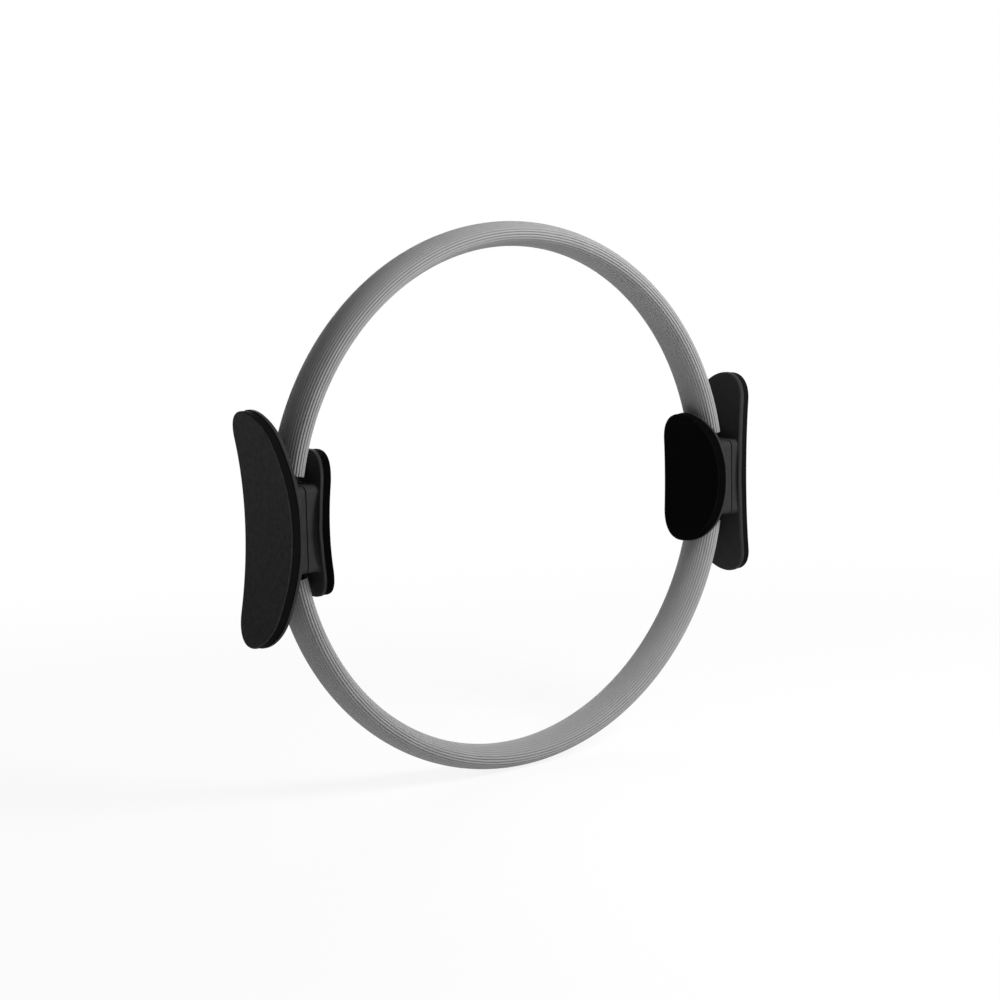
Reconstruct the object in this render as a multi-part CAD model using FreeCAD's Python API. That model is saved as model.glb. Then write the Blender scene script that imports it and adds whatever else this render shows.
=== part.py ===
import FreeCAD, Part
import math
import os

# Pilates ring: a springy hoop in a rubber sheath, gripped by two padded handles.
# Millimetres. The hoop stands upright in the XZ plane round the Y axis, the origin is its centre,
# and the handles sit at -X (left) and +X (right).

# Hoop
ring_outer_radius = 180.0
sheath_width = 30.0
sheath_thickness = 16.0
sheath_end_round_share = 0.62
sheath_rib_count = 38
sheath_rib_depth = 0.4
band_width = 20.0
band_thickness = 2.2
band_spacing = 0.2
bore_clearance = 0.3
band_end_gap = 4.0

# Handle waist, the block that clamps the bands, wider towards the outer flange
waist_outer_inset = 3.1
waist_inner_inset = 4.5
waist_height = 52.0
waist_corner = 4.0
parting_groove_width = 0.8
parting_groove_depth = 0.8
sheath_end_gap = 5.0
slot_clearance = 0.3

# Outer side of a handle: a long oval saddle that curves away from the hoop
outer_flange_length = 143.5
outer_flange_width = 59.0
outer_end_round_share = 0.81
outer_flange_thickness = 2.6
outer_saddle_radius = 175.0
outer_pad_thickness = 5.4
outer_pad_edge_radius = 1.4
outer_sheath_gap = 1.5
outer_rim_fillet = 1.6
outer_root_fillet = 1.2

# Inner side of a handle: a short oval pad that curves round the inside of the hoop,
# as wide as the outer side, so that the ring lies level on its flats
inner_flange_length = 90.7
inner_flange_width = outer_flange_width
inner_end_round_share = 0.92
inner_flange_thickness = 2.0
inner_saddle_radius = 92.0
inner_pad_thickness = 5.8
inner_pad_edge_radius = 1.8
inner_sheath_gap = 0.4
inner_rim_fillet = 0.8
inner_root_fillet = 1.6

# Shared by both sides, with flats to rest on where the flanges are widest
rim_lip = 0.5
rest_flat_depth = 0.4
adhesive_thickness = 0.3
adhesive_margin = 1.5

# Screws, from under the inner pad into the outer shell
screw_radius = 1.5
screw_head_radius = 2.8
screw_head_thickness = 1.8
screw_engagement = 4.5
screw_clearance = 0.1
screw_head_sink = 0.2
screw_height_share = 0.6

# Rivets, through both bands
rivet_radius = 2.0
rivet_head_radius = 3.4
rivet_head_thickness = 1.1
rivet_clearance = 0.1
rivet_pocket_clearance = 0.4
rivet_height_share = 0.5

# Places that follow from the sizes
ring_mid_radius = ring_outer_radius - sheath_thickness / 2
waist_outer_width = outer_flange_width - 2 * waist_outer_inset
waist_inner_width = inner_flange_width - 2 * waist_inner_inset
band_stack = band_thickness + band_spacing / 2
slot_depth = band_stack + slot_clearance
slot_half_width = band_width / 2 + slot_clearance
sheath_end_height = waist_height / 2 + sheath_end_gap
sheath_start = math.asin(sheath_end_height / ring_mid_radius)
handle_reach = ring_mid_radius + outer_flange_length

X_AXIS = FreeCAD.Vector(1, 0, 0)
Y_AXIS = FreeCAD.Vector(0, 1, 0)
Z_AXIS = FreeCAD.Vector(0, 0, 1)
UPWARD_TURN = FreeCAD.Vector(0, -1, 0)
CENTRE = FreeCAD.Vector(0, 0, 0)
tiny = rim_lip / 100


def vector(x, y, z):
    return FreeCAD.Vector(x, y, z)


def drum(centre_x, radius, width):
    """A cylinder whose axis runs along Y through (centre_x, 0, 0), centred on the hoop's plane."""
    return Part.makeCylinder(radius, width, vector(centre_x, -width / 2, 0), Y_AXIS)


def tube(centre_x, inner_radius, outer_radius, width):
    """A hollow drum."""
    return drum(centre_x, outer_radius, width).cut(drum(centre_x, inner_radius, width))


def oval(middle, across, along, half_width, half_length, end_radius):
    """A wire of four tangent arcs: broad ones on the long sides, tight ones at the ends."""
    rise = half_length - end_radius
    spread = half_width ** 2 + half_length ** 2 - 2 * half_length * end_radius
    broad = spread / (2 * (half_width - end_radius))
    join_across = across * (end_radius * (broad - half_width) / (broad - end_radius))
    join_along = along * (rise + end_radius * rise / (broad - end_radius))
    tip = along * half_length
    flank = across * half_width
    joins = [join_across + join_along, join_along - join_across]
    joins = [middle + join for join in joins] + [middle - join for join in joins]
    tops = [middle + tip, middle - flank, middle - tip, middle + flank]
    starts_and_ends = zip(joins, tops, joins[1:] + joins[:1])
    return Part.Wire([Part.Arc(start, top, end).toShape() for start, top, end in starts_and_ends])


def waist_block(start_x, end_x, inset):
    """The waist between two places along X, drawn in by an inset: tapered sides, round corners."""
    rise = waist_height / 2 - inset
    near = [vector(x, waist_half_width(x) - inset, -rise) for x in (start_x, end_x)]
    far = [vector(point.x, -point.y, point.z) for point in reversed(near)]
    points = near + far
    block = Part.Face(Part.makePolygon(points + points[:1])).extrude(vector(0, 0, 2 * rise))
    long_edges = [edge for edge in block.Edges if abs(edge.BoundBox.XLength) > tiny]
    return block.makeFillet(waist_corner - inset, long_edges)


def waist_half_width(x):
    """Half the waist's width at a place along X, between the backs of the two flanges."""
    inner_x = inner_side.surface_x(inner_side.back_level, 0)
    outer_x = outer_side.surface_x(outer_side.back_level, 0)
    outer_share = (x - inner_x) / (outer_x - inner_x)
    return (waist_inner_width + outer_share * (waist_outer_width - waist_inner_width)) / 2


def turned_part(outline):
    """A solid turned about the X axis from (x, radius) points."""
    points = [vector(x, 0, radius) for x, radius in outline]
    wire = Part.makePolygon(points + points[:1])
    return Part.Face(wire).revolve(CENTRE, X_AXIS, 360)


class Side:
    """One side of a handle: a pad, its film and a flange, oval layers bent about one axis along Y.

    A layer lies between two levels, which are distances from that axis. facing is +1 where the pad
    faces away from the hoop's centre, -1 towards it.
    """

    def __init__(self, facing, flange, end_round_share, pad, fillets):
        self.facing = facing
        self.length, self.width, flange_thickness, saddle_radius, sheath_gap = flange
        self.end_radius = end_round_share * self.width / 2
        pad_thickness, self.pad_edge_radius = pad
        self.rim_fillet, self.root_fillet = fillets
        self.face_level = saddle_radius
        self.film_level = self.face_level + pad_thickness
        self.seat_level = self.film_level + adhesive_thickness
        self.back_level = self.seat_level + flange_thickness
        self.axis_x = self.place_axis(sheath_gap)

    def place_axis(self, sheath_gap):
        """The flange's back stands off the sheath by the gap, at the sheath's end or the flange's."""
        sheath_radius = ring_mid_radius + self.facing * sheath_thickness / 2
        places = []
        for z in (sheath_radius * math.sin(sheath_start), self.length / 2):
            sheath_x = math.sqrt(sheath_radius ** 2 - z ** 2)
            back_depth = math.sqrt(self.back_level ** 2 - z ** 2)
            places.append(sheath_x + self.facing * (sheath_gap + back_depth))
        return max(places) if self.facing > 0 else min(places)

    def surface_x(self, level, z):
        """Where a level lies at a height z."""
        return self.axis_x - self.facing * math.sqrt(level ** 2 - z ** 2)

    def within(self, level):
        """All that lies nearer to the axis than a level."""
        return drum(self.axis_x, level, handle_reach)

    def layer(self, near_level, far_level, margin):
        """The flange's outline, drawn in by a margin, between two levels."""
        middle = vector(self.axis_x, 0, 0)
        half_width = self.width / 2 - margin
        half_length = self.length / 2 - margin
        outline = oval(middle, Y_AXIS, Z_AXIS, half_width, half_length, self.end_radius - margin)
        block = Part.Face(outline).extrude(X_AXIS * (-2 * self.facing * far_level))
        return block.common(self.within(far_level)).cut(self.within(near_level))

    def rim(self, solid, level):
        """The edges round the faces that lie on a level."""
        axis_point = vector(self.axis_x, 0, 0)
        edges = []
        for face in solid.Faces:
            gaps = [corner.Point.distanceToLine(axis_point, Y_AXIS) - level for corner in face.Vertexes]
            if all(abs(gap) < tiny for gap in gaps):
                edges += face.Edges
        return edges

    def pad(self):
        """A foam pad with a rounded face edge."""
        plain = self.layer(self.face_level, self.film_level, rim_lip)
        return plain.makeFillet(self.pad_edge_radius, self.rim(plain, self.face_level))

    def film(self):
        return self.layer(self.film_level, self.seat_level, adhesive_margin)

    def shell(self):
        """A flange and its half of the waist, stepped in at the parting, with a fillet at the root."""
        flange = self.layer(self.seat_level, self.back_level, 0)
        flange = flange.makeFillet(self.rim_fillet, self.rim(flange, self.back_level))
        groove_x = ring_mid_radius + self.facing * parting_groove_width / 2
        far_x = self.surface_x(self.face_level, waist_height / 2)
        core = waist_block(ring_mid_radius, far_x, parting_groove_depth)
        waist = waist_block(groove_x, far_x, 0).fuse(core).cut(self.within(self.seat_level))
        body = flange.fuse(waist).removeSplitter()
        root = [edge for edge in self.rim(body, self.back_level) if on_waist(edge)]
        return body.makeFillet(self.root_fillet, root).common(self.between_rest_flats())

    def between_rest_flats(self):
        """The room between the flats on the flange's two long sides."""
        width = self.width - 2 * rest_flat_depth
        return Part.makeBox(handle_reach, width, 2 * handle_reach, vector(0, -width / 2, -handle_reach))


def on_waist(edge):
    """Whether an edge runs round the waist and not round the flange."""
    points = edge.discretize(3)
    reach_y = max(abs(point.y) - waist_half_width(point.x) for point in points)
    reach_z = max(abs(point.z) - waist_height / 2 for point in points)
    return reach_y < tiny and reach_z < tiny


def half_turn(shape, axis):
    turned = shape.copy()
    turned.rotate(CENTRE, axis, 180)
    return turned


OUTER_FLANGE = (outer_flange_length, outer_flange_width, outer_flange_thickness,
                outer_saddle_radius, outer_sheath_gap)
INNER_FLANGE = (inner_flange_length, inner_flange_width, inner_flange_thickness,
                inner_saddle_radius, inner_sheath_gap)
OUTER_PAD = (outer_pad_thickness, outer_pad_edge_radius)
INNER_PAD = (inner_pad_thickness, inner_pad_edge_radius)
OUTER_FILLETS = (outer_rim_fillet, outer_root_fillet)
INNER_FILLETS = (inner_rim_fillet, inner_root_fillet)
outer_side = Side(1, OUTER_FLANGE, outer_end_round_share, OUTER_PAD, OUTER_FILLETS)
inner_side = Side(-1, INNER_FLANGE, inner_end_round_share, INNER_PAD, INNER_FILLETS)

# Screw and rivet places
screw_height = screw_height_share * waist_height / 2
screw_side = (slot_half_width + min(waist_outer_width, waist_inner_width) / 2) / 2
screw_places = [(y * screw_side, z * screw_height) for y in (-1, 1) for z in (-1, 1)]
screw_seat_x = inner_side.surface_x(inner_side.seat_level, screw_height - screw_head_radius)
screw_head_top = screw_seat_x + screw_head_sink
screw_head_floor = screw_head_top + screw_head_thickness
screw_tip = ring_mid_radius + screw_engagement
rivet_height = rivet_height_share * waist_height / 2
rivet_turn = math.degrees(math.asin(rivet_height / ring_mid_radius))
rivet_grip = band_stack + rivet_clearance


def sheath_oval(inset):
    """The outline of the sheath's section, drawn in by an inset."""
    half_thickness = sheath_thickness / 2 - inset
    half_width = sheath_width / 2 - inset
    end_radius = sheath_end_round_share * sheath_thickness / 2 - inset
    return oval(vector(ring_mid_radius, 0, 0), X_AXIS, Y_AXIS, half_thickness, half_width, end_radius)


def ribbed_section():
    """The sheath's section: by turns the crest of a rib on the oval and the floor of a groove."""
    place_count = 2 * sheath_rib_count + 1
    crests = sheath_oval(0).discretize(place_count)[0::2]
    floors = sheath_oval(sheath_rib_depth).discretize(place_count)[1::2]
    points = [point for pair in zip(crests, floors) for point in pair]
    return Part.Face(Part.makePolygon(points + points[:1]))


def sheath():
    """A length of ribbed oval sheath over the top of the hoop, with a flat bore for the bands."""
    bore_width = band_width + 2 * bore_clearance
    bore_depth = 2 * (band_stack + bore_clearance)
    bore_corner = vector(ring_mid_radius - bore_depth / 2, -bore_width / 2, 0)
    section = ribbed_section().cut(Part.makePlane(bore_depth, bore_width, bore_corner))
    section.rotate(CENTRE, UPWARD_TURN, math.degrees(sheath_start))
    sweep = 180 - 2 * math.degrees(sheath_start)
    return section.Faces[0].revolve(CENTRE, UPWARD_TURN, sweep)


def rivet_hole(radius, depth_inside, depth_outside, turn):
    """A round hole through the hoop's thickness, turned up the hoop."""
    start = vector(ring_mid_radius - depth_inside, 0, 0)
    hole = Part.makeCylinder(radius, depth_inside + depth_outside, start, X_AXIS)
    hole.rotate(CENTRE, UPWARD_TURN, turn)
    return hole


def band(inner_radius, end_side):
    """A spring strip round the hoop, cut through on one side and pierced for the rivets."""
    strip = tube(0, inner_radius, inner_radius + band_thickness, band_width)
    cut_start = min(0, end_side * handle_reach)
    end_cut = Part.makeBox(handle_reach, 2 * band_width, band_end_gap,
                           vector(cut_start, -band_width, -band_end_gap / 2))
    strip = strip.cut(end_cut)
    for turn in (rivet_turn, -rivet_turn, 180 + rivet_turn, 180 - rivet_turn):
        strip = strip.cut(rivet_hole(rivet_radius + rivet_clearance, 2 * band_stack, 2 * band_stack, turn))
    return strip


def band_slot():
    """The curved slot that the bands take through a handle."""
    return tube(0, ring_mid_radius - slot_depth, ring_mid_radius + slot_depth, 2 * slot_half_width)


def rivet_pockets():
    """Room in the shells for the rivet heads."""
    radius = rivet_head_radius + rivet_pocket_clearance
    depth = rivet_grip + rivet_head_thickness + rivet_pocket_clearance
    return [rivet_hole(radius, depth, depth, turn) for turn in (rivet_turn, -rivet_turn)]


def screw_hole(radius, start_x, end_x, place):
    y, z = place
    return Part.makeCylinder(radius, end_x - start_x, vector(start_x, y, z), X_AXIS)


def outer_shell():
    """The outer half: long saddle flange, half the waist, blind holes for the screws."""
    body = outer_side.shell()
    cuts = [band_slot()] + rivet_pockets()
    bottom = screw_tip + screw_clearance
    cuts += [screw_hole(screw_radius + screw_clearance, ring_mid_radius, bottom, p) for p in screw_places]
    return body.cut(cuts)


def inner_shell():
    """The inner half: short flange, half the waist, stepped holes for the screws and their heads."""
    body = inner_side.shell()
    cuts = [band_slot()] + rivet_pockets()
    open_x = screw_head_floor - inner_flange_length / 2
    for place in screw_places:
        cuts.append(screw_hole(screw_radius + screw_clearance, open_x, ring_mid_radius, place))
        cuts.append(screw_hole(screw_head_radius + screw_clearance, open_x, screw_head_floor, place))
    return body.cut(cuts)


def screws():
    """Four round-headed screws, heads towards the hoop's centre."""
    outline = [
        (screw_head_top, 0),
        (screw_head_top, screw_head_radius),
        (screw_head_floor, screw_head_radius),
        (screw_head_floor, screw_radius),
        (screw_tip, screw_radius),
        (screw_tip, 0),
    ]
    group = []
    for y, z in screw_places:
        screw = turned_part(outline)
        screw.translate(vector(0, y, z))
        group.append(screw)
    return Part.makeCompound(group)


def rivets():
    """Two flat-headed rivets through both bands, square to the hoop."""
    head_end = rivet_grip + rivet_head_thickness
    half = [
        (head_end, rivet_head_radius),
        (rivet_grip, rivet_head_radius),
        (rivet_grip, rivet_radius),
    ]
    inward = [(ring_mid_radius - x, radius) for x, radius in half]
    outward = [(ring_mid_radius + x, radius) for x, radius in reversed(half)]
    outline = [(ring_mid_radius - head_end, 0)] + inward + outward + [(ring_mid_radius + head_end, 0)]
    group = []
    for turn in (rivet_turn, -rivet_turn):
        rivet = turned_part(outline)
        rivet.rotate(CENTRE, UPWARD_TURN, turn)
        group.append(rivet)
    return Part.makeCompound(group)


def handle():
    """The pieces of the right handle, by name."""
    return {
        "outer_shell": outer_shell(),
        "inner_shell": inner_shell(),
        "outer_pad": outer_side.pad(),
        "inner_pad": inner_side.pad(),
        "outer_pad_adhesive": outer_side.film(),
        "inner_pad_adhesive": inner_side.film(),
        "shell_screws": screws(),
        "band_rivets": rivets(),
    }


def pieces():
    """Every piece of the ring, by node name."""
    upper = sheath()
    inner_band_radius = ring_mid_radius - band_stack
    outer_band_radius = ring_mid_radius + band_spacing / 2
    nodes = {
        "upper_sheath": upper,
        "lower_sheath": half_turn(upper, Y_AXIS),
        "outer_band": band(outer_band_radius, -1),
        "inner_band": band(inner_band_radius, 1),
    }
    for name, shape in handle().items():
        nodes["right_" + name] = shape
        nodes["left_" + name] = half_turn(shape, Z_AXIS)
    return nodes


os.makedirs("parts", exist_ok=True)
for node, shape in pieces().items():
    shape.exportStep(os.path.join("parts", node + ".step"))
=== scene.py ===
"""Looks of a pilates ring: ribbed sheaths and spring strips on a hoop, foam pads on moulded handles."""

from dataclasses import dataclass, replace
import math

import bmesh
import bpy
import numpy as np
from mathutils import Matrix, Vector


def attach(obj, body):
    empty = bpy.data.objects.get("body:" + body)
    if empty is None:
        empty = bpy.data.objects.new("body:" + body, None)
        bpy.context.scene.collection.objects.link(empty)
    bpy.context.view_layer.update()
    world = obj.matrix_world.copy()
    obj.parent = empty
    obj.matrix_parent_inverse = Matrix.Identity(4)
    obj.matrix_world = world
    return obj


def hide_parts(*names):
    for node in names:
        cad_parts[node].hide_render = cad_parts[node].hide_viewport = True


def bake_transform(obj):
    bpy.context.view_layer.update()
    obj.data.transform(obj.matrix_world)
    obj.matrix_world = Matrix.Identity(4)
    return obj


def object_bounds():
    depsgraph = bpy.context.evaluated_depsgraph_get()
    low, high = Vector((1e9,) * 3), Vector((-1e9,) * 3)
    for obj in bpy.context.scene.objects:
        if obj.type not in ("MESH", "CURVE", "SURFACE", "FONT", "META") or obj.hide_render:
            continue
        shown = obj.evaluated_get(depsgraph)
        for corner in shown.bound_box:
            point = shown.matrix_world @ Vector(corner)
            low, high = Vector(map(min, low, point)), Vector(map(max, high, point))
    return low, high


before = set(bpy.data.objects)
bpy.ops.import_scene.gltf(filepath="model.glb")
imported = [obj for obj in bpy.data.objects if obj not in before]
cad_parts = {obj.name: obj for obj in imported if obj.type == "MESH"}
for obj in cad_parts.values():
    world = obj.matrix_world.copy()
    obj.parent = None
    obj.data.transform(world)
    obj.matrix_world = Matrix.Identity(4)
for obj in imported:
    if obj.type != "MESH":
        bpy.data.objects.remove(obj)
cad_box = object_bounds()

# Metres. The hoop stands in the XZ plane round the Y axis, handles at -X (left) and +X (right).
MM = 0.001
SIDES = (("left", -1), ("right", 1))

# Hoop, the same sizes as the solids
HOOP_RADIUS = 172 * MM
SHEATH_HALF_THICKNESS = 8 * MM
SHEATH_HALF_WIDTH = 15 * MM
SHEATH_END_RADIUS = 4.96 * MM
SHEATH_END_HEIGHT = 31 * MM
BORE_HALF_DEPTH = 2.6 * MM
BORE_HALF_WIDTH = 10.3 * MM
BAND_WIDTH = 20 * MM
BAND_THICKNESS = 2.2 * MM
BAND_SPACING = 0.2 * MM
BAND_END_GAP = 4 * MM
BAND_CORNER = 0.4 * MM
HOOP_STEPS = 84
SEAM_TURN = math.radians(0.03)

# Points nearer than this are one point, and edges sharper than these stay sharp
WELD_DISTANCE = 0.001 * MM
SHEATH_SHARP_ANGLE = math.radians(50)
BAND_SHARP_ANGLE = math.radians(30)
PAD_SHARP_ANGLE = math.radians(60)

# Ribs along the sheath, deeper round its narrow edges than on its broad faces
RIB_COUNT = 38
FACE_RIB_DEPTH = 0.26 * MM
EDGE_RIB_DEPTH = 0.6 * MM
RIB_ROUNDNESS = 0.62
SAMPLES_PER_RIB = 10


@dataclass
class PadForm:
    """An oval foam pad bent over a saddle: a drum whose axis runs along Y at axis_x.

    facing is +1 where the pad faces away from the hoop's centre, -1 towards it.
    """
    facing: int
    axis_x: float
    saddle_radius: float
    half_length: float
    half_width: float
    end_radius: float
    thickness: float
    edge_radius: float


OUTER_PAD = PadForm(
    facing=1, axis_x=358.959 * MM, saddle_radius=175 * MM, half_length=71.25 * MM, half_width=29 * MM,
    end_radius=23.395 * MM, thickness=5.4 * MM, edge_radius=1.4 * MM)
INNER_PAD = PadForm(
    facing=-1, axis_x=65.278 * MM, saddle_radius=92 * MM, half_length=44.85 * MM, half_width=29 * MM,
    end_radius=26.64 * MM, thickness=5.8 * MM, edge_radius=1.8 * MM)
PAD_CROWN = 0.4 * MM
PAD_OUTLINE_SAMPLES = 240
PAD_FACE_RINGS = 26
PAD_EDGE_RINGS = 9
PAD_SIDE_RINGS = 5
PAD_BACK_RINGS = 11


@dataclass
class Grain:
    """A noise: features per metre, how many finer layers it has and how strongly they count."""
    scale: float
    detail: float = 4
    roughness: float = 0.6


@dataclass
class Finish:
    """A grey surface with a cloudy shade and gloss, and a fine grain of a depth in metres.

    stops are (position, brightness) pairs along the mark that the mesh carries, and the cloud dims
    them down to cloud_share of themselves. Without a mark they run along the cloud itself.
    """
    name: str
    stops: tuple
    cloud: Grain
    roughness: tuple
    grain: Grain
    grain_depth: float
    specular: float
    mark: str = ""
    cloud_share: float = 1.0


@dataclass
class PlainFinish:
    """A clouded grey with a faint grain, for pieces that hardly show."""
    name: str
    stops: tuple
    grain: Grain
    roughness: float
    metallic: float


# Ribbed rubber, with a painted highlight along the crests and painted shade down the grooves, darker where
# the grooves run deeper
SHEATH_RUBBER = Finish(
    name="sheath_rubber", mark="groove_share", stops=((0.0, 0.31), (0.35, 0.26), (1.0, 0.15)),
    cloud=Grain(60), cloud_share=0.9, roughness=(0.52, 0.7), specular=0.15,
    grain=Grain(2600, detail=3), grain_depth=0.002 * MM)
# Foam with a dense face, a lighter painted highlight line round its edge and a darker cut side
OUTER_FOAM = Finish(
    name="outer_pad_foam", mark="edge_share", stops=((0.12, 0.06), (0.35, 0.11), (0.75, 0.004)),
    cloud=Grain(260), cloud_share=0.55, roughness=(0.78, 0.92), specular=0.04,
    grain=Grain(1500, roughness=0.7), grain_depth=0.05 * MM)
# Much darker foam for the inner pads, with the same lighter painted highlight line round its edge and a
# darker cut side
INNER_FOAM = replace(
    OUTER_FOAM, name="inner_pad_foam", stops=((0.0, 0.004), (0.35, 0.008), (0.75, 0.002)), specular=0.01)
# Satin black moulded plastic with a fine spark-eroded grain
SHELL_PLASTIC = Finish(
    name="shell_plastic", stops=((0.0, 0.026), (1.0, 0.032)),
    cloud=Grain(120, detail=3), roughness=(0.45, 0.58), specular=0.02,
    grain=Grain(2200, detail=2), grain_depth=0.01 * MM)
SPRING_STRIP = PlainFinish(
    "spring_strip", ((0.0, 0.02), (1.0, 0.03)), Grain(300), roughness=0.4, metallic=0.0)
BONDING_FILM = PlainFinish(
    "bonding_film", ((0.0, 0.02), (1.0, 0.03)), Grain(300), roughness=0.6, metallic=0.0)
FASTENER_STEEL = PlainFinish(
    "fastener_steel", ((0.0, 0.45), (1.0, 0.55)), Grain(900), roughness=0.35, metallic=1.0)
PLAIN_GRAIN_DEPTH = 0.02 * MM
NOISE_SPAN = (0.3, 0.7)

# Camera, fitted to the hoop's outline in the photograph's frame
FRAME_PIXELS = 1000
FOCAL_PIXELS = 1811
VIEW_YAW = math.radians(36.36)
VIEW_PITCH = math.radians(8.0)
VIEW_ROLL = math.radians(-1.2)
VIEW_DISTANCE = 1190 * MM
HOOP_CENTRE_PIXELS = (13.6, 2.0)
SENSOR_MILLIMETRES = 36.0

# Studio, in metres and watts
FLOOR_HALF_SIZE = 6.0
FLOOR_SHADE = 0.9
FLOOR_ROUGHNESS = 0.9
FLOOR_GLOW_SHARE = 0.88
FLOOR_SHADOW_REACH = 0.35
FLOOR_WHITE_REACH = 0.9
WORLD_LIGHT = 0.12
KEY_PLACE = (0.32, -0.62, 0.5)
KEY_SIZE = 0.4
KEY_POWER = 9.5
BACK_PLACE = (0.5, 1.3, 0.3)
BACK_SIZE = 1.2
BACK_POWER = 14.0


# Meshes

def new_piece(name, points, faces, material, sharp_angle, mark=None):
    """A mesh object at the origin, smooth but for edges sharper than an angle.

    mark is a name and a value for every point, which the material reads as an attribute.
    """
    mesh = bpy.data.meshes.new(name)
    mesh.from_pydata(points.reshape(-1, 3).tolist(), [], faces)
    if mark is not None:
        label, values = mark
        layer = mesh.attributes.new(label, "FLOAT", "POINT")
        layer.data.foreach_set("value", np.ascontiguousarray(values, np.float32).ravel())
    shape = bmesh.new()
    shape.from_mesh(mesh)
    bmesh.ops.remove_doubles(shape, verts=shape.verts, dist=WELD_DISTANCE)
    bmesh.ops.recalc_face_normals(shape, faces=shape.faces)
    shape.to_mesh(mesh)
    shape.free()
    mesh.shade_smooth()
    mesh.set_sharp_from_angle(angle=sharp_angle)
    mesh.materials.append(material)
    piece = bpy.data.objects.new(name, mesh)
    bpy.context.scene.collection.objects.link(piece)
    return piece


def grid_faces(rows, columns, rows_closed):
    """Quads of a grid whose columns close round, and whose rows close round too if rows_closed."""
    last = rows if rows_closed else rows - 1
    row, column = np.meshgrid(np.arange(last), np.arange(columns), indexing="ij")
    next_row = (row + 1) % rows
    next_column = (column + 1) % columns
    corners = [row * columns + column, next_row * columns + column]
    corners += [next_row * columns + next_column, row * columns + next_column]
    return np.stack(corners, -1).reshape(-1, 4)


class OvalWalk:
    """Places spread evenly by arc length round an oval of four tangent arcs.

    Two broad arcs cross the first axis and two tight ones close the ends of the second. The angle of
    the surface normal grows evenly along each arc, and each place lies one radius along the normal
    from its arc's centre, so a smaller radius draws the whole oval in evenly.
    """

    def __init__(self, half_thickness, half_width, end_radius, samples):
        rise = half_width - end_radius
        spread = half_thickness ** 2 + half_width ** 2 - 2 * half_width * end_radius
        broad = spread / (2 * (half_thickness - end_radius))
        join = math.atan2(rise, broad - half_thickness)
        radii = np.array([broad, end_radius, broad, end_radius])
        turns = np.array([2 * join, math.pi - 2 * join, 2 * join, math.pi - 2 * join])
        arc_ends = np.concatenate([[0], np.cumsum(turns * radii)])
        turn_ends = np.concatenate([[0], np.cumsum(turns)]) - join
        set_back = broad - half_thickness
        centres = np.array([(-set_back, 0), (0, rise), (set_back, 0), (0, -rise)])
        self.share = np.arange(samples) / samples
        along = self.share * arc_ends[-1]
        arc = np.searchsorted(arc_ends, along, side="right") - 1
        self.turn = np.interp(along, arc_ends, turn_ends)
        self.centre = centres[arc]
        self.radius = radii[arc]

    def points(self, inset):
        """centre + (radius - inset) * (cos turn, sin turn), for one inset or one for each place."""
        outward = np.stack([np.cos(self.turn), np.sin(self.turn)], -1)
        return self.centre + (self.radius - inset)[..., None] * outward


# Hoop

def round_the_hoop(section, turns):
    """Carries (radial, axial) section points round the hoop: x = r cos t, y = axial, z = r sin t."""
    radius = HOOP_RADIUS + section[None, :, 0]
    axial = np.broadcast_to(section[None, :, 1], (len(turns), len(section)))
    return np.stack([radius * np.cos(turns)[:, None], axial, radius * np.sin(turns)[:, None]], -1)


def sheath_section():
    """The sheath's ribbed oval, and how deep each point lies as a share of the deepest groove.

    A rib's crest is |sin(pi * phase)| ** roundness, and the surface lies depth * (1 - crest) inside
    the oval. The depth grows from the broad faces to the narrow edges with the sine of the normal's
    angle, squared.
    """
    walk = OvalWalk(SHEATH_HALF_THICKNESS, SHEATH_HALF_WIDTH, SHEATH_END_RADIUS, RIB_COUNT * SAMPLES_PER_RIB)
    groove = 1 - np.abs(np.sin(math.pi * walk.share * RIB_COUNT)) ** RIB_ROUNDNESS
    depth = FACE_RIB_DEPTH + (EDGE_RIB_DEPTH - FACE_RIB_DEPTH) * np.sin(walk.turn) ** 2
    return walk.points(depth * groove), depth * groove / EDGE_RIB_DEPTH


def bore_section(outer):
    """Each outer point drawn straight in to the rectangular bore's wall."""
    share = np.maximum(np.abs(outer[:, 0]) / BORE_HALF_DEPTH, np.abs(outer[:, 1]) / BORE_HALF_WIDTH)
    return outer / share[:, None]


def half_turns(first, last):
    """Angles round the hoop from the seam at its middle, with one short step beside the seam."""
    seam_step = math.copysign(SEAM_TURN, last - first)
    return np.concatenate([[first], np.linspace(first + seam_step, last, HOOP_STEPS)])


def sheath_half(name, seam_turn, end_turn, material):
    """Half a sheath as one closed grid: out along the ribbed oval, across the cut end, back in the bore."""
    turns = half_turns(seam_turn, end_turn)
    outer, groove = sheath_section()
    outside = round_the_hoop(outer, turns)
    inside = round_the_hoop(bore_section(outer), turns[::-1])
    points = np.concatenate([outside, inside])
    # The bore counts as the deepest groove, so it and the cut ends towards it take the darkest painted shade
    depth = np.ones((len(points), len(outer)))
    depth[:len(turns)] = groove
    faces = grid_faces(len(points), len(outer), True).tolist()
    return new_piece(name, points, faces, material, SHEATH_SHARP_ANGLE, ("groove_share", depth))


def band_section(inner_offset):
    """A flat strip's section with clipped corners, as (radial, axial) points."""
    half_width = BAND_WIDTH / 2
    low = inner_offset
    high = inner_offset + BAND_THICKNESS
    return np.array([
        (low + BAND_CORNER, -half_width), (high - BAND_CORNER, -half_width),
        (high, BAND_CORNER - half_width), (high, half_width - BAND_CORNER),
        (high - BAND_CORNER, half_width), (low + BAND_CORNER, half_width),
        (low, half_width - BAND_CORNER), (low, BAND_CORNER - half_width),
    ])


def band_part(section, turns, first):
    """One stretch of strip and its faces, closed at both ends, with its points counted from first."""
    points = round_the_hoop(section, turns).reshape(-1, 3)
    rows = first + np.arange(len(points)).reshape(len(turns), len(section))
    sides = first + grid_faces(len(turns), len(section), False)
    return points, sides.tolist() + [rows[0].tolist(), rows[-1].tolist()]


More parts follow.
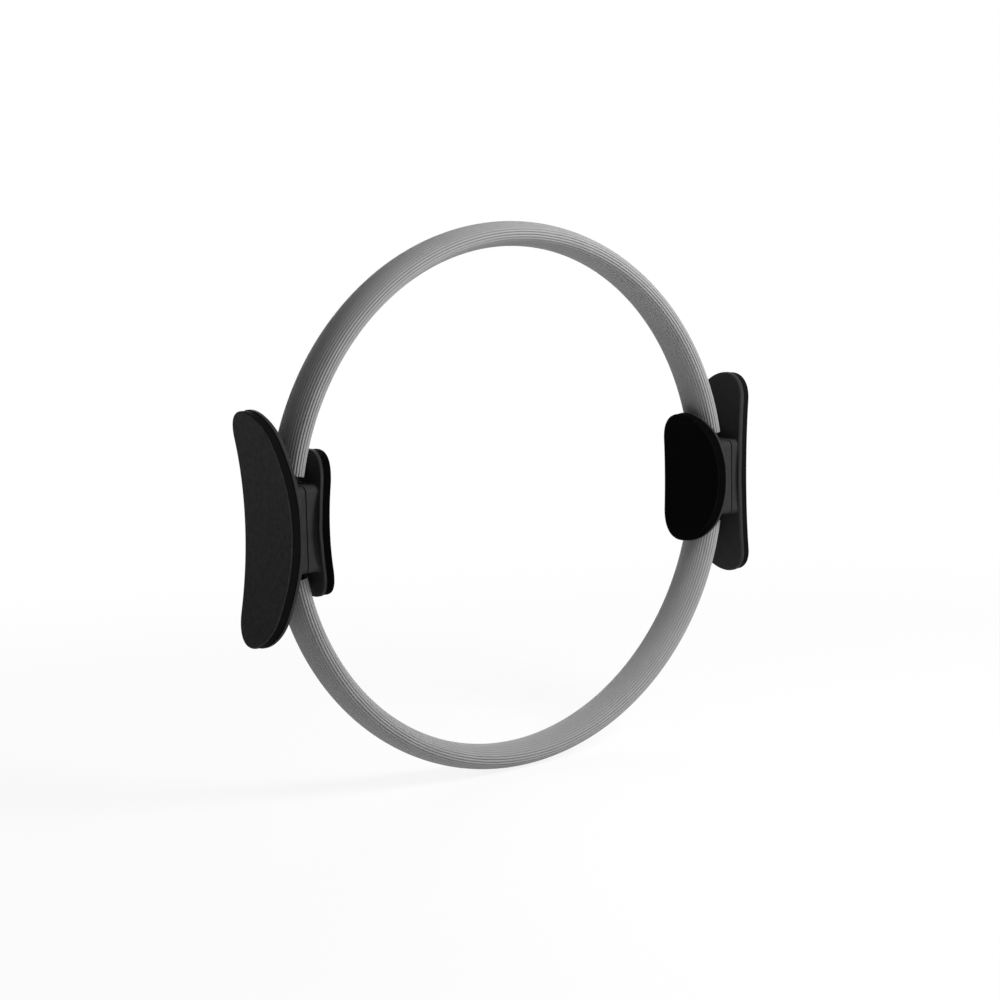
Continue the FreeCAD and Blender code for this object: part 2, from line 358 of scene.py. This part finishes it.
def band_half(name, inner_offset, side, open_ended, material):
    """Half a spring strip, from the top of the hoop through one handle to the bottom."""
    middle = 0 if side > 0 else math.pi
    gap = math.asin(BAND_END_GAP / 2 / HOOP_RADIUS) if open_ended else 0
    section = band_section(inner_offset)
    upper = half_turns(math.pi / 2, middle + side * gap)
    lower = half_turns(-math.pi / 2 if side > 0 else 3 * math.pi / 2, middle - side * gap)
    if open_ended:
        upper_points, upper_faces = band_part(section, upper, 0)
        lower_points, lower_faces = band_part(section, lower, len(upper_points))
        points = np.concatenate([upper_points, lower_points])
        faces = upper_faces + lower_faces
    else:
        points, faces = band_part(section, np.concatenate([upper, lower[-2::-1]]), 0)
    return new_piece(name, points, faces, material, BAND_SHARP_ANGLE)


# Pads

def pad_rings(form):
    """A pad's rings, from the middle of its face over the edge to the middle of its back.

    Each ring is the oval drawn in by an inset, scaled by a share and sunk by a depth. The face is
    crowned by crown * (1 - share ** 2), and its edge turns a quarter circle. The last value tells
    how far round the edge a ring lies, 0 on the face and 1 on the cut side and the back.
    """
    face_share = np.linspace(0, 1, PAD_FACE_RINGS)
    edge_turn = np.linspace(0, math.pi / 2, PAD_EDGE_RINGS + 1)[1:]
    side_depth = np.linspace(form.edge_radius, form.thickness, PAD_SIDE_RINGS + 1)[1:]
    back_share = np.linspace(1, 0, PAD_BACK_RINGS + 1)[1:]
    whole = [np.ones(len(edge_turn)), np.ones(len(side_depth))]
    inset = [np.full(len(face_share), form.edge_radius), form.edge_radius * (1 - np.sin(edge_turn))]
    inset += [0 * side_depth, 0 * back_share]
    depth = [-PAD_CROWN * (1 - face_share ** 2), form.edge_radius * (1 - np.cos(edge_turn))]
    depth += [side_depth, np.full(len(back_share), form.thickness)]
    rounding = [0 * face_share, np.sin(edge_turn / 2) / math.sin(math.pi / 4)]
    rounding += [np.ones(len(side_depth)), np.ones(len(back_share))]
    share = [face_share] + whole + [back_share]
    return [np.concatenate(parts) for parts in (inset, share, depth, rounding)]


def foam_pad(name, form, side, material):
    """A pad as a grid of oval rings on a saddle: x = axis - facing * sqrt(level ** 2 - z ** 2).

    A ring's level is its distance from the saddle's axis: the saddle's radius and the ring's depth.
    """
    walk = OvalWalk(form.half_width, form.half_length, form.end_radius, PAD_OUTLINE_SAMPLES)
    inset, share, depth, rounding = (values[:, None] for values in pad_rings(form))
    flat = share[..., None] * walk.points(inset)
    across = flat[..., 0]
    along = flat[..., 1]
    level = form.saddle_radius + depth
    outward = form.axis_x - form.facing * np.sqrt(level ** 2 - along ** 2)
    points = np.stack([side * outward, side * across, along], -1)
    faces = grid_faces(len(inset), PAD_OUTLINE_SAMPLES, False).tolist()
    round_share = np.broadcast_to(rounding, across.shape)
    return new_piece(name, points, faces, material, PAD_SHARP_ANGLE, ("edge_share", round_share))


# Materials

def material_nodes(name):
    """A new material, its nodes, its links and its shader."""
    material = bpy.data.materials.new(name)
    material.use_nodes = True
    nodes = material.node_tree.nodes
    return material, nodes, material.node_tree.links, nodes["Principled BSDF"]


def noise(nodes, links, grain):
    """Noise on the piece's own place, in metres, stretched from its usual span to 0 and 1."""
    place = nodes.new("ShaderNodeTexCoord")
    texture = nodes.new("ShaderNodeTexNoise")
    texture.inputs["Scale"].default_value = grain.scale
    texture.inputs["Detail"].default_value = grain.detail
    texture.inputs["Roughness"].default_value = grain.roughness
    links.new(place.outputs["Object"], texture.inputs["Vector"])
    stretch = nodes.new("ShaderNodeMapRange")
    stretch.inputs["From Min"].default_value, stretch.inputs["From Max"].default_value = NOISE_SPAN
    links.new(texture.outputs["Fac"], stretch.inputs["Value"])
    return stretch.outputs["Result"]


def surface_mark(nodes, label):
    """A value that the piece's mesh carries at each point."""
    reader = nodes.new("ShaderNodeAttribute")
    reader.attribute_name = label
    return reader.outputs["Fac"]


def ramped(nodes, links, factor, low, high):
    """low + factor * (high - low)."""
    node = nodes.new("ShaderNodeMapRange")
    node.inputs["To Min"].default_value = low
    node.inputs["To Max"].default_value = high
    links.new(factor, node.inputs["Value"])
    return node.outputs["Result"]


def product(nodes, links, first, second):
    """first * second."""
    node = nodes.new("ShaderNodeMath")
    node.operation = "MULTIPLY"
    links.new(first, node.inputs[0])
    links.new(second, node.inputs[1])
    return node.outputs["Value"]


def grey_stops(nodes, links, factor, stops):
    """A grey that runs through (position, brightness) stops."""
    ramp = nodes.new("ShaderNodeValToRGB")
    elements = ramp.color_ramp.elements
    while len(elements) < len(stops):
        elements.new(1.0)
    for element, (position, brightness) in zip(elements, stops):
        element.position = position
        element.color = (brightness, brightness, brightness, 1)
    links.new(factor, ramp.inputs["Fac"])
    return ramp.outputs["Color"]


def bump(nodes, links, height, distance):
    """A normal for a surface that rises by height * distance."""
    node = nodes.new("ShaderNodeBump")
    node.inputs["Distance"].default_value = distance
    links.new(height, node.inputs["Height"])
    return node.outputs["Normal"]


def clouded(nodes, links, colour, cloud, low):
    """A colour dimmed here and there, down to a share of itself."""
    node = nodes.new("ShaderNodeMix")
    node.data_type = "RGBA"
    node.blend_type = "MULTIPLY"
    node.inputs["Factor"].default_value = 1.0
    links.new(colour, node.inputs["A"])
    links.new(ramped(nodes, links, cloud, low, 1.0), node.inputs["B"])
    return node.outputs["Result"]


def finished(finish):
    """The material of a Finish."""
    material, nodes, links, shader = material_nodes(finish.name)
    cloud = noise(nodes, links, finish.cloud)
    if finish.mark:
        shade = grey_stops(nodes, links, surface_mark(nodes, finish.mark), finish.stops)
        colour = clouded(nodes, links, shade, cloud, finish.cloud_share)
    else:
        colour = grey_stops(nodes, links, cloud, finish.stops)
    links.new(colour, shader.inputs["Base Color"])
    links.new(ramped(nodes, links, cloud, *finish.roughness), shader.inputs["Roughness"])
    grain = noise(nodes, links, finish.grain)
    links.new(bump(nodes, links, grain, finish.grain_depth), shader.inputs["Normal"])
    shader.inputs["Specular IOR Level"].default_value = finish.specular
    return material


def plainly_finished(finish):
    """The material of a PlainFinish."""
    material, nodes, links, shader = material_nodes(finish.name)
    grain = noise(nodes, links, finish.grain)
    links.new(grey_stops(nodes, links, grain, finish.stops), shader.inputs["Base Color"])
    links.new(bump(nodes, links, grain, PLAIN_GRAIN_DEPTH), shader.inputs["Normal"])
    shader.inputs["Roughness"].default_value = finish.roughness
    shader.inputs["Metallic"].default_value = finish.metallic
    return material


def dress_node(node, material):
    """Gives a solid of the frame a finish."""
    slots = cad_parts[node].data.materials
    slots.clear()
    slots.append(material)


# The object

def follow_handle(piece):
    """Bakes the half hoop's place into its mesh."""
    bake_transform(piece)


def build_sheaths():
    """Four half sheaths, split at the top and bottom of the hoop."""
    rubber = finished(SHEATH_RUBBER)
    start = math.asin(SHEATH_END_HEIGHT / HOOP_RADIUS)
    for level, up in (("upper", 1), ("lower", -1)):
        for side, sign in SIDES:
            end = start if sign > 0 else math.pi - start
            piece = sheath_half(f"{level}_sheath_{side}_half", up * math.pi / 2, up * end, rubber)
            follow_handle(piece)
            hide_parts(f"{level}_sheath")


def build_bands():
    """Two nested strips in halves, each with its ends in one handle."""
    strip = plainly_finished(SPRING_STRIP)
    offsets = {"outer_band": BAND_SPACING / 2, "inner_band": -BAND_SPACING / 2 - BAND_THICKNESS}
    open_sides = {"outer_band": "left", "inner_band": "right"}
    for band, offset in offsets.items():
        for side, sign in SIDES:
            piece = band_half(f"{band}_{side}_half", offset, sign, side == open_sides[band], strip)
            follow_handle(piece)
            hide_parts(band)


def build_handles():
    """Foam pads on both handles, and finishes for the shells, films and fasteners."""
    plastic = finished(SHELL_PLASTIC)
    outer_foam = finished(OUTER_FOAM)
    inner_foam = finished(INNER_FOAM)
    film = plainly_finished(BONDING_FILM)
    steel = plainly_finished(FASTENER_STEEL)
    for side, sign in SIDES:
        for place, form, foam in (("outer", OUTER_PAD, outer_foam), ("inner", INNER_PAD, inner_foam)):
            piece = foam_pad(f"{side}_{place}_foam_pad", form, sign, foam)
            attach(piece, f"{side}_handle")
            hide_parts(f"{side}_{place}_pad")
            dress_node(f"{side}_{place}_shell", plastic)
            dress_node(f"{side}_{place}_pad_adhesive", film)
        dress_node(f"{side}_shell_screws", steel)
        dress_node(f"{side}_band_rivets", steel)


# The studio

def white_to_the_eye(nodes, links):
    """1 for rays that show the surface to the camera, directly, in a gloss or through glass."""
    path = nodes.new("ShaderNodeLightPath")
    most = path.outputs["Is Camera Ray"]
    for name in ("Is Glossy Ray", "Is Transmission Ray"):
        larger = nodes.new("ShaderNodeMath")
        larger.operation = "MAXIMUM"
        links.new(most, larger.inputs[0])
        links.new(path.outputs[name], larger.inputs[1])
        most = larger.outputs["Value"]
    return most


def pale_floor():
    """White to the eye, but for a share near the hoop that takes its shadow."""
    material, nodes, links, shader = material_nodes("pale_floor")
    shader.inputs["Base Color"].default_value = (FLOOR_SHADE, FLOOR_SHADE, FLOOR_SHADE, 1)
    shader.inputs["Roughness"].default_value = FLOOR_ROUGHNESS
    place = nodes.new("ShaderNodeTexCoord")
    reach = nodes.new("ShaderNodeVectorMath")
    reach.operation = "LENGTH"
    links.new(place.outputs["Object"], reach.inputs[0])
    fade = nodes.new("ShaderNodeMapRange")
    fade.inputs["From Min"].default_value = FLOOR_SHADOW_REACH
    fade.inputs["From Max"].default_value = FLOOR_WHITE_REACH
    fade.inputs["To Min"].default_value = FLOOR_GLOW_SHARE
    links.new(reach.outputs["Value"], fade.inputs["Value"])
    glow_share = product(nodes, links, white_to_the_eye(nodes, links), fade.outputs["Result"])
    glow = nodes.new("ShaderNodeEmission")
    mix = nodes.new("ShaderNodeMixShader")
    links.new(glow_share, mix.inputs["Fac"])
    links.new(shader.outputs[0], mix.inputs[1])
    links.new(glow.outputs[0], mix.inputs[2])
    links.new(mix.outputs[0], nodes["Material Output"].inputs["Surface"])
    return material


def build_floor():
    """A wide square at the hoop's lowest point."""
    corners = FLOOR_HALF_SIZE * np.array([(-1, -1), (1, -1), (1, 1), (-1, 1)])
    points = np.column_stack([corners, np.full(len(corners), cad_box[0].z)])
    mesh = bpy.data.meshes.new("floor")
    mesh.from_pydata(points.tolist(), [], [range(len(points))])
    mesh.materials.append(pale_floor())
    floor = bpy.data.objects.new("floor", mesh)
    bpy.context.scene.collection.objects.link(floor)


def build_world():
    """White where it is seen, and a plain grey light on the object."""
    world = bpy.data.worlds.new("studio")
    world.use_nodes = True
    nodes = world.node_tree.nodes
    links = world.node_tree.links
    dim = nodes["Background"]
    dim.inputs["Color"].default_value = (1, 1, 1, 1)
    dim.inputs["Strength"].default_value = WORLD_LIGHT
    bright = nodes.new("ShaderNodeBackground")
    bright.inputs["Color"].default_value = (1, 1, 1, 1)
    bright.inputs["Strength"].default_value = 1.0
    mix = nodes.new("ShaderNodeMixShader")
    links.new(white_to_the_eye(nodes, links), mix.inputs["Fac"])
    links.new(dim.outputs[0], mix.inputs[1])
    links.new(bright.outputs[0], mix.inputs[2])
    links.new(mix.outputs[0], nodes["World Output"].inputs["Surface"])
    bpy.context.scene.world = world


def axes_matrix(right, up, forward, place):
    """The place and turn of something that looks along forward."""
    columns = np.column_stack([right, up, -forward, place])
    return Matrix(np.vstack([columns, (0, 0, 0, 1)]).tolist())


def soft_light(name, place, size, power):
    """A square lamp that faces the hoop's centre."""
    lamp = bpy.data.lights.new(name, "AREA")
    lamp.size = size
    lamp.energy = power
    holder = bpy.data.objects.new(name, lamp)
    forward = -np.array(place) / np.linalg.norm(place)
    right = np.cross(forward, (0, 0, 1))
    right /= np.linalg.norm(right)
    holder.matrix_world = axes_matrix(right, np.cross(right, forward), forward, np.array(place))
    bpy.context.scene.collection.objects.link(holder)


def build_camera():
    """The photograph's view: the hoop's centre lies off the middle of the frame by a few pixels."""
    level = math.cos(VIEW_PITCH)
    forward = np.array([math.sin(VIEW_YAW) * level, math.cos(VIEW_YAW) * level, -math.sin(VIEW_PITCH)])
    flat_right = np.array([math.cos(VIEW_YAW), -math.sin(VIEW_YAW), 0])
    flat_up = np.cross(flat_right, forward)
    right = flat_right * math.cos(VIEW_ROLL) + flat_up * math.sin(VIEW_ROLL)
    up = flat_up * math.cos(VIEW_ROLL) - flat_right * math.sin(VIEW_ROLL)
    aside, above = (VIEW_DISTANCE / FOCAL_PIXELS * pixels for pixels in HOOP_CENTRE_PIXELS)
    place = -forward * VIEW_DISTANCE - right * aside - up * above
    lens = bpy.data.cameras.new("camera")
    lens.sensor_width = SENSOR_MILLIMETRES
    lens.lens = FOCAL_PIXELS / FRAME_PIXELS * SENSOR_MILLIMETRES
    camera = bpy.data.objects.new("camera", lens)
    camera.matrix_world = axes_matrix(right, up, forward, place)
    bpy.context.scene.collection.objects.link(camera)
    bpy.context.scene.camera = camera


build_sheaths()
build_bands()
build_handles()
build_floor()
build_world()
soft_light("key", KEY_PLACE, KEY_SIZE, KEY_POWER)
soft_light("back", BACK_PLACE, BACK_SIZE, BACK_POWER)
build_camera()
bpy.context.scene.view_settings.view_transform = "Standard"
